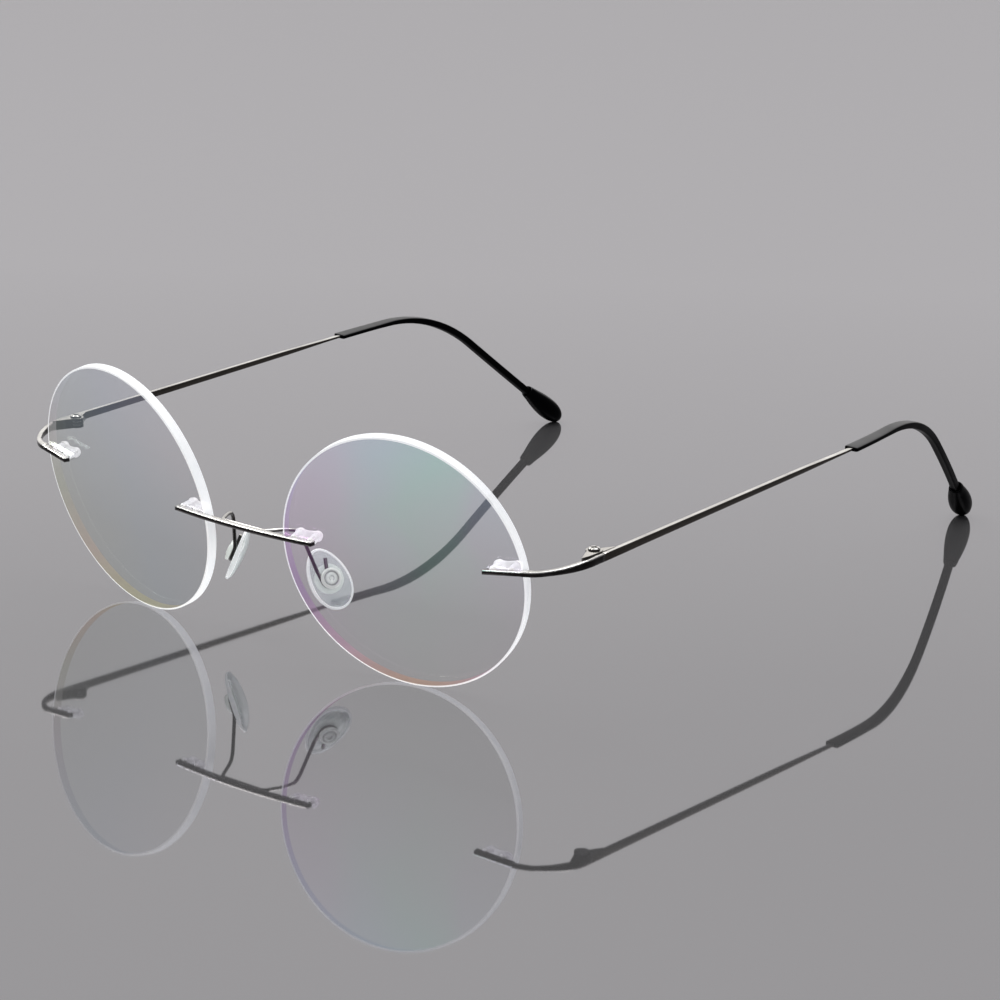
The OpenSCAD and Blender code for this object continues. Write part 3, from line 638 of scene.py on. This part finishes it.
def make_lens(side, word, coating, edge):
    profile, edge_start, edge_end = lens_profile()
    shape = revolve(profile, lambda out, up, back: lens_point(out, back, up, side),
                    LENS_SEGMENTS)
    lens = add_mesh("lens_%s_clear" % word, *shape, [coating, edge])
    for poly in lens.data.polygons:
        poly.material_index = int(edge_start <= poly.index // LENS_SEGMENTS < edge_end)
    mark_faces(drill(lens, side), side)
    split_edges(lens, 50)
    register(lens, "front", "lens_" + word)


make_lens(1, "left", COATING_LEFT, EDGE_LEFT)
make_lens(-1, "right", COATING_RIGHT, EDGE_RIGHT)

# ------------------------------------------------------------------ twin plugs behind each lens
PLUG_R = 0.95
PLUG_FACE = LENS_T - bulge(HOLE_NEAR) + 0.2     # heights below are measured from here
PLUG_CLEARANCE = 0.035                          # kept between the plug and the lens back
OUTLINE_SEGMENTS, HUMP_SEGMENTS = 72, 32
# height, growth of the outline, depth of its waist
FLANGE = [(-0.3, -0.08, 0.14), (-0.1, 0.0, 0.14), (0.02, 0.03, 0.14), (0.14, 0.02, 0.16),
          (0.24, -0.05, 0.2), (0.29, -0.16, 0.26), (0.31, -0.36, 0.3), (0.31, -0.7, 0.4)]
# radius, height
HUMP = [(0.86, 0.2), (0.87, 0.4), (0.84, 0.58), (0.76, 0.76), (0.62, 0.90), (0.45, 0.98),
        (0.3, 1.01), (0.14, 1.0), (0.01, 0.97)]
# radius, height of the sleeve inside the lens hole
HOLE_SLEEVE = [(0.36, -1.62), (0.70, -1.60), (0.72, -1.5), (0.72, 0.02)]


def slot_outline(half, grow, waist):
    """Slot around two centres `half` from its middle, drawn in between them."""
    radius = PLUG_R + grow
    points = []
    for angle in angles(OUTLINE_SEGMENTS):
        x = (half + radius) * math.cos(angle)
        reach = abs(x)
        if reach > half:
            y = math.sqrt(max(0.0, radius ** 2 - (reach - half) ** 2))
        else:
            y = radius * (1 - waist * math.cos(reach / half * math.pi / 2) ** 2)
        sine = math.sin(angle)
        points.append((x, math.copysign(y, sine) if abs(sine) > 1e-9 else 0.0))
    return points


def make_plug(name, holes, side):
    """Clear cap with two humps, over two hole centres."""
    first, second = (Vector(hole) for hole in holes)
    middle, half = (first + second) / 2, (second - first).length / 2
    along = (second - first).normalized()
    across = Vector((-along.y, along.x))

    def place(x, y, height):
        spot = middle + x * along + y * across
        back = PLUG_FACE + height
        if back > 1.0:  # outside the hole: keep clear of the lens back
            back = max(back, LENS_T - bulge(spot.length) + PLUG_CLEARANCE)
        return lens_point(spot.x, back, spot.y, side)

    parts = [skin([[place(x, y, height) for x, y in slot_outline(half, grow, waist)]
                   for height, grow, waist in FLANGE])]
    for end in (-1, 1):
        for profile in (HUMP, HOLE_SLEEVE):
            rings = [[place(end * half + radius * math.cos(angle),
                            radius * math.sin(angle), height)
                      for angle in angles(HUMP_SEGMENTS)]
                     for radius, height in profile]
            parts.append(skin(rings, cap=False))
    plug = add_mesh(name, *join(parts), [PLUG_PLASTIC])
    register(plug, "front", "lens_plugs")


for side, word in SIDES:
    make_plug("plug_bridge_" + word, BRIDGE_HOLES, side)
    make_plug("plug_endpiece_" + word, ENDPIECE_HOLES, side)

# ------------------------------------------------------------------ nose pads
CUSHION_SEGMENTS, CORE_SEGMENTS = 72, 56
CUSHION_CENTRE = [0.12, 0.35]           # scale of the innermost rings on both sides
WELL_HEIGHTS = [0.02, 0.0]              # height of those rings on the wire side
# wire side from the well out to the rim: growth of the outline, height above PAD_FACE
CUSHION_FRONT = [
    (-2.2, -0.03), (-1.75, -0.10), (-1.45, -0.16), (-1.15, -0.20), (-0.85, -0.16),
    (-0.62, -0.05), (-0.45, 0.02), (-0.26, 0.03), (-0.1, -0.03), (-0.02, -0.13), (0.0, -0.28)]
CUSHION_BACK = [0.0, -0.06, -0.22, -0.5, -1.0, -1.8]    # growth of the outline, rim inwards
RIM_BANDS = range(8, 14)                # bands between rings that carry the painted rim highlight
# radius, height along the swivel axis: base disc, neck, button with turned rings
CORE_PROFILE = [
    (0.0, -0.93), (2.4, -0.93), (2.56, -0.89), (2.6, -0.84), (2.6, -0.66), (2.52, -0.58),
    (1.30, -0.56), (1.12, -0.50), (1.07, -0.36), (1.07, 0.30), (1.16, 0.375), (1.62, 0.385),
    (1.76, 0.42), (1.82, 0.50), (1.82, 0.80), (1.78, 0.94), (1.68, 1.03), (1.52, 1.07),
    (1.38, 1.03), (1.26, 0.93), (1.14, 0.92), (1.02, 1.00), (0.92, 1.12), (0.78, 1.20),
    (0.60, 1.22), (0.48, 1.16), (0.38, 1.05), (0.22, 1.02), (0.0, 1.03)]

# left pad axes: down its length, across it, and the swivel axis
swivel = JOINTS["left_pad_swivel"]
PAD_CENTRE = Vector(swivel["pos_m"]) / MM
PAD_AXIS = Vector(swivel["axis"]).normalized()
unrolled = Vector((math.sin(PAD_FRONTAL) * math.cos(PAD_SPLAY),
                   -math.sin(PAD_FRONTAL) * math.sin(PAD_SPLAY),
                   -math.cos(PAD_FRONTAL)))
PAD_DOWN = math.cos(PAD_ROLL) * unrolled + math.sin(PAD_ROLL) * PAD_AXIS.cross(unrolled)
PAD_ACROSS = PAD_AXIS.cross(PAD_DOWN)


def pad_point(x, y, z, side):
    return mirrored(PAD_CENTRE + x * PAD_DOWN + y * PAD_ACROSS + z * PAD_AXIS, side)


def egg(grow=0.0, scale=1.0):
    """Pad outline, wider towards its lower end."""
    points = []
    for angle in angles(CUSHION_SEGMENTS):
        widening = 1 + 0.13 * math.cos(angle)
        x = (PAD_LENGTH / 2 + grow) * math.cos(angle)
        y = (PAD_WIDTH / 2 * widening + grow) * math.sin(angle)
        points.append((x * scale, y * scale))
    return points


def crown(x, y):
    """Height of the crowned nose side."""
    sag = PAD_CROWN_R - math.sqrt(PAD_CROWN_R ** 2 - math.hypot(x, y) ** 2)
    return PAD_FACE - PAD_DEPTH + sag + 0.03


def make_cushion(side, word):
    """Soft pad: shallow well on the wire side, rounded rim, crowned nose side."""
    rings = [[(x, y, PAD_FACE + height) for x, y in egg(scale=scale)]
             for scale, height in zip(CUSHION_CENTRE, WELL_HEIGHTS)]
    rings += [[(x, y, PAD_FACE + height) for x, y in egg(grow)]
              for grow, height in CUSHION_FRONT]
    for grow in CUSHION_BACK:
        lift = 0.30 * (1 - min(1, -grow / 0.5))     # rounds the rim off
        rings.append([(x, y, min(crown(x, y) + lift, PAD_FACE - 0.45))
                      for x, y in egg(grow)])
    rings += [[(x, y, crown(x, y)) for x, y in egg(scale=scale)]
              for scale in reversed(CUSHION_CENTRE)]
    shape = skin([[pad_point(*point, side) for point in ring] for ring in rings])
    cushion = add_mesh("pad_cushion_%s_soft" % word, *shape, [PAD_SILICONE, PAD_RIM_HIGHLIGHT])
    for poly in cushion.data.polygons:
        if poly.index // CUSHION_SEGMENTS in RIM_BANDS:
            poly.material_index = 1
    subdivide(cushion)
    register(cushion, word + "_nose_pad", "pad_cushion_" + word)


def make_core(side, word):
    shape = revolve(CORE_PROFILE, lambda x, y, z: pad_point(x, y, z, side), CORE_SEGMENTS)
    core = add_mesh("pad_core_%s_button" % word, *shape, [PAD_CORE])
    register(core, word + "_nose_pad", "pad_core_" + word)


for side, word in SIDES:
    make_cushion(side, word)
    make_core(side, word)

# ------------------------------------------------------------------ temple centre line
hinge = Vector(JOINTS["left_temple_hinge"]["pos_m"]) / MM
STRIP_X = hinge.x + HINGE_TO_STRIP + STRIP_GAP + STRIP_T / 2
INWARD_Y = hinge.y + STRAIGHT - INWARD_LEAD
BEND_LENGTH = BEND_R * (SLOPE + EAR_DROP)
# (y, z) of the ends and centres of the two arcs
BEND_START = (hinge.y + STRAIGHT * math.cos(SLOPE), hinge.z + STRAIGHT * math.sin(SLOPE))
BEND_CENTRE = (BEND_START[0] + BEND_R * math.sin(SLOPE),
               BEND_START[1] - BEND_R * math.cos(SLOPE))
BEND_END = (BEND_CENTRE[0] + BEND_R * math.sin(EAR_DROP),
            BEND_CENTRE[1] + BEND_R * math.cos(EAR_DROP))
EAR_CENTRE = (BEND_END[0] - EAR_R * math.sin(EAR_DROP),
              BEND_END[1] - EAR_R * math.cos(EAR_DROP))


def heading(distance):
    """Slope angle of the temple in the side view."""
    if distance < STRAIGHT:
        return SLOPE
    if distance < STRAIGHT + BEND_LENGTH:
        return SLOPE - (distance - STRAIGHT) / BEND_R
    return -EAR_DROP - (distance - STRAIGHT - BEND_LENGTH) / EAR_R


def centre_point(distance):
    """Point on the left temple's centre line."""
    if distance < STRAIGHT:
        y = hinge.y + distance * math.cos(SLOPE)
        z = hinge.z + distance * math.sin(SLOPE)
    else:
        in_bend = distance < STRAIGHT + BEND_LENGTH
        centre, radius = (BEND_CENTRE, BEND_R) if in_bend else (EAR_CENTRE, EAR_R)
        angle = heading(distance)
        y = centre[0] - radius * math.sin(angle)
        z = centre[1] + radius * math.cos(angle)
    inward = 0.0
    if y >= INWARD_Y:
        inward = INWARD_R - math.sqrt(INWARD_R ** 2 - (y - INWARD_Y) ** 2)
    return Vector((STRIP_X - inward, y, z))


def interpolate(distance, table):
    if distance <= table[0][0]:
        return table[0][1]
    for (start, before), (end, after) in zip(table, table[1:]):
        if distance < end:
            return before + (after - before) * (distance - start) / (end - start)
    return table[-1][1]


# ------------------------------------------------------------------ temple tips
# distance along the temple, size there
SLEEVE_WIDTHS = [(SLEEVE_START, SLEEVE_W), (STRAIGHT - 6, SLEEVE_W - 0.15),
                 (STRAIGHT + 3, SLEEVE_W - 0.35), (STRAIGHT + 11, SLEEVE_W - 0.75),
                 (STRAIGHT + 24, SLEEVE_W - 1.2)]
SLEEVE_THICKNESSES = [(STRAIGHT - 4, SLEEVE_T), (STRAIGHT + 4, SLEEVE_T + 0.25),
                      (STRAIGHT + 11, SLEEVE_T + 0.5), (STRAIGHT + 18, SLEEVE_T + 0.6)]
# distance from the sleeve's front end, scale of the section
SLEEVE_LIP = [(0.0, 0.55), (0.04, 0.86), (0.18, 0.97), (0.45, 1.0)]
SLEEVE_STEPS = 110
# fraction of the bulb's length, scale of the section: the front end, turned in
BULB_MOUTH = [(0.055, 0.40), (0.02, 0.44), (0.0, 0.50), (0.006, 0.56)]
BULB_NECK, BULB_WIDEST = 0.12, 0.6      # fractions of the length
BULB_STEPS = 12                         # before the widest place, and again behind it


def make_sleeve(side, word):
    lip_length = SLEEVE_LIP[-1][0]
    body_length = SLEEVE_END - SLEEVE_START - lip_length
    stations = [(SLEEVE_START + offset, scale) for offset, scale in SLEEVE_LIP]
    stations += [(SLEEVE_START + lip_length + body_length * i / SLEEVE_STEPS, 1.0)
                 for i in range(1, SLEEVE_STEPS + 1)]
    rings = []
    for distance, scale in stations:
        centre = centre_point(distance)
        angle = heading(distance)
        up = Vector((0, -math.sin(angle), math.cos(angle)))
        width = interpolate(distance, SLEEVE_WIDTHS) * scale
        thickness = interpolate(distance, SLEEVE_THICKNESSES) * scale
        section = superellipse(width, thickness, exponent=5.0, count=32)
        rings.append([mirrored(centre + x * Vector((1, 0, 0)) + z * up, side)
                      for x, z in section])
    sleeve = add_mesh("tip_sleeve_%s_soft" % word, *skin(rings), [TIP_SILICONE])
    register(sleeve, word + "_temple", "tip_sleeve_" + word)


def bulb_scale(t):
    """Scale of the bulb's section at this fraction of its length."""
    if t < BULB_NECK:
        return 0.57 + 0.11 * t / BULB_NECK
    if t < BULB_WIDEST:
        swell = (t - BULB_NECK) / (BULB_WIDEST - BULB_NECK)
        return 0.68 + 0.32 * math.sin(swell * math.pi / 2)
    return math.sqrt(max(0.0, 1 - ((t - BULB_WIDEST) / (1 - BULB_WIDEST)) ** 2.2))


def make_bulb(side, word):
    middle = TEMPLE_LENGTH - BULB_L / 2
    centre = centre_point(middle)
    turn_in = math.asin((centre.y - INWARD_Y) / INWARD_R)
    turn = Matrix.Rotation(turn_in, 3, "Z") @ Matrix.Rotation(heading(middle), 3, "X")
    across, along, up = (turn @ Vector(axis) for axis in ((1, 0, 0), (0, 1, 0), (0, 0, 1)))

    fractions = [0.03 + 0.57 * i / BULB_STEPS for i in range(BULB_STEPS + 1)]
    fractions += [BULB_WIDEST + (1 - BULB_WIDEST) * math.sin(math.radians(90 * i / BULB_STEPS))
                  for i in range(1, BULB_STEPS)]
    stations = BULB_MOUTH + [(t, bulb_scale(t)) for t in fractions] + [(1.0, 0.02)]
    rings = []
    for t, scale in stations:
        exponent = 2.6 if t < BULB_NECK else 2.25
        section = superellipse(BULB_W * scale, BULB_T * scale, exponent, count=36)
        rings.append([
            mirrored(centre + x * across + BULB_L * (t - 0.5) * along + z * up, side)
            for x, z in section])
    bulb = add_mesh("tip_bulb_%s_soft" % word, *skin(rings), [TIP_SILICONE])
    subdivide(bulb)
    register(bulb, word + "_temple", "tip_bulb_" + word)


for side, word in SIDES:
    make_sleeve(side, word)
    make_bulb(side, word)


# ------------------------------------------------------------------ parts that keep their CAD shape
def paint(name, material, bevel=0.0, segments=2, angle=35):
    """Material, smooth shading and a small bevel (mm) on edges sharper than angle (degrees)."""
    obj = NODES[name]
    obj.data.materials.clear()
    obj.data.materials.append(material)
    for poly in obj.data.polygons:
        poly.use_smooth = True
    weld = obj.modifiers.new("weld", "WELD")
    weld.merge_threshold = 2e-7
    if bevel:
        modifier = obj.modifiers.new("bevel", "BEVEL")
        modifier.width = bevel * MM
        modifier.segments = segments
        modifier.limit_method = "ANGLE"
        modifier.angle_limit = math.radians(angle)
        modifier.use_clamp_overlap = True
    split_edges(obj, 42).use_edge_sharp = False


paint("bridge_bar", FRAME_METAL, bevel=0.07, angle=40)
for _, word in SIDES:
    paint("endpiece_" + word, FRAME_METAL, bevel=0.06, angle=40)
    paint("endpiece_hinge_" + word, HINGE_METAL, bevel=0.05)
    paint("temple_hinge_" + word, HINGE_METAL, bevel=0.05)
    paint("temple_" + word, TEMPLE_METAL, bevel=0.06, angle=40)
paint("pad_wire", WIRE_METAL)
paint("mounting_pins", PIN_METAL, bevel=0.05)
paint("hinge_screws", SCREW_METAL, bevel=0.03)
paint("hinge_washers", WASHER_PLASTIC, bevel=0.015, segments=1)

# ------------------------------------------------------------------ floor (metres from here on)
FLOOR_HALF = 6.0
# (y, z) where the lens rims and the bulbs touch the floor
REST_FRONT = (0.0099, (LENS_Z - LENS_R * math.cos(TILT)) * MM - 0.00003)
REST_BACK = (0.1592, CAD_BOX[0].z - 0.00002)


def floor_material():
    """Grey base under a glossy sheet whose colour is painted lighter towards the back right, a
    painted pool of light.
    """
    m = new_material("floor_pale")
    base = m.ramp(m.noise(1.2, detail=3.0),
                  [(0.3, (0.068, 0.067, 0.070)), (0.7, (0.076, 0.075, 0.078))])
    matt = m.shader("BsdfPrincipled", Base_Color=base, Roughness=0.6, Specular_IOR_Level=0.2)
    # painted light: the sheet's colour grows lighter towards the back right
    fade = m.remap(m.along(m.coords(), (-0.6, 0.8, 0.0)), over=(-0.05, 0.30))
    sheet = m.shader(
        "BsdfGlossy",
        Color=m.ramp(fade, [(0.0, (0.50, 0.495, 0.518)), (0.14, (0.52, 0.514, 0.538)),
                            (0.46, (0.62, 0.613, 0.642)), (1.0, (0.72, 0.712, 0.745))]),
        Roughness=m.remap(m.noise(9, detail=3.0), over=(0.35, 0.65), to=(0.018, 0.034)),
        Normal=m.bump(m.noise(3000, detail=2.0), strength=0.02, distance=0.00001))
    return m.finish(m.mix_shader(0.62, matt, sheet))


def make_floor():
    """Plane tipped so that it passes through both resting lines."""
    fall = (REST_BACK[1] - REST_FRONT[1]) / (REST_BACK[0] - REST_FRONT[0])
    corners = [(x * FLOOR_HALF, y * FLOOR_HALF,
                REST_FRONT[1] + fall * (y * FLOOR_HALF - REST_FRONT[0]))
               for x, y in ((-1, -1), (1, -1), (1, 1), (-1, 1))]
    mesh = bpy.data.meshes.new("floor")
    mesh.from_pydata(corners, [], [(0, 1, 2, 3)])
    floor = bpy.data.objects.new("floor", mesh)
    bpy.context.scene.collection.objects.link(floor)
    mesh.materials.append(floor_material())


make_floor()

# ------------------------------------------------------------------ world, lights, camera
scene = bpy.context.scene


def make_world():
    """Grey dome, lighter overhead, with a broad warm glow behind the glasses."""
    world = bpy.data.worlds.new("studio")
    scene.world = world
    w = Shading(world, output="OutputWorld")
    direction = w.coords("Generated")
    glow = w.remap(w.along(direction, (-0.566, 0.753, 0.335)), over=(0.35, 0.97),
                   interpolation_type="SMOOTHSTEP")
    height = w.remap(w.split(direction)["Z"], over=(-0.1, 1.0))
    dome = w.ramp(height, [(0.0, (0.20, 0.20, 0.21)), (0.22, (0.24, 0.24, 0.25)),
                           (0.5, (0.42, 0.42, 0.44)), (1.0, (0.80, 0.80, 0.82))])
    colour = w.mix(glow, dome, (0.98, 0.965, 0.95))
    w.finish(w.shader("Background", Color=colour, Strength=0.85))


def add_area_light(name, location, size, power, colour=(1, 1, 1)):
    """Rectangular light aimed at the middle of the glasses."""
    light = bpy.data.lights.new(name, "AREA")
    light.shape = "RECTANGLE"
    light.size, light.size_y = size
    light.energy = power
    light.color = colour
    obj = bpy.data.objects.new(name, light)
    scene.collection.objects.link(obj)
    obj.location = location
    obj.rotation_mode = "QUATERNION"
    aim = Vector((0, 0.06, 0)) - Vector(location)
    obj.rotation_quaternion = aim.to_track_quat("-Z", "Y")
    return obj


def make_camera():
    data = bpy.data.cameras.new("camera")
    camera = bpy.data.objects.new("camera", data)
    scene.collection.objects.link(camera)
    right = Vector((0.79392, 0.60745, 0.02627))
    up = Vector((-0.20242, 0.22333, 0.95349))
    back = Vector((0.57333, -0.76232, 0.30027))
    matrix = Matrix((right, up, back)).transposed().to_4x4()
    matrix.translation = Vector((0.33419, -0.37007, 0.15899))
    camera.matrix_world = matrix
    data.sensor_width = 36
    data.lens = 110.72
    data.shift_x, data.shift_y = -0.00289, 0.02114
    data.clip_start, data.clip_end = 0.01, 50
    scene.camera = camera


make_world()
add_area_light("key", location=(-0.55, -0.15, 0.75), size=(0.7, 0.5), power=7.0,
               colour=(1.0, 0.99, 0.97))
fill = add_area_light("fill", location=(0.75, -0.5, 0.45), size=(0.6, 0.6), power=3.0,
                      colour=(0.97, 0.98, 1.0))
fill.visible_glossy = False
add_area_light("top", location=(0.05, 0.35, 0.95), size=(0.9, 0.6), power=6.0)
make_camera()
scene.view_settings.view_transform = "Standard"
scene.view_settings.look = "None"
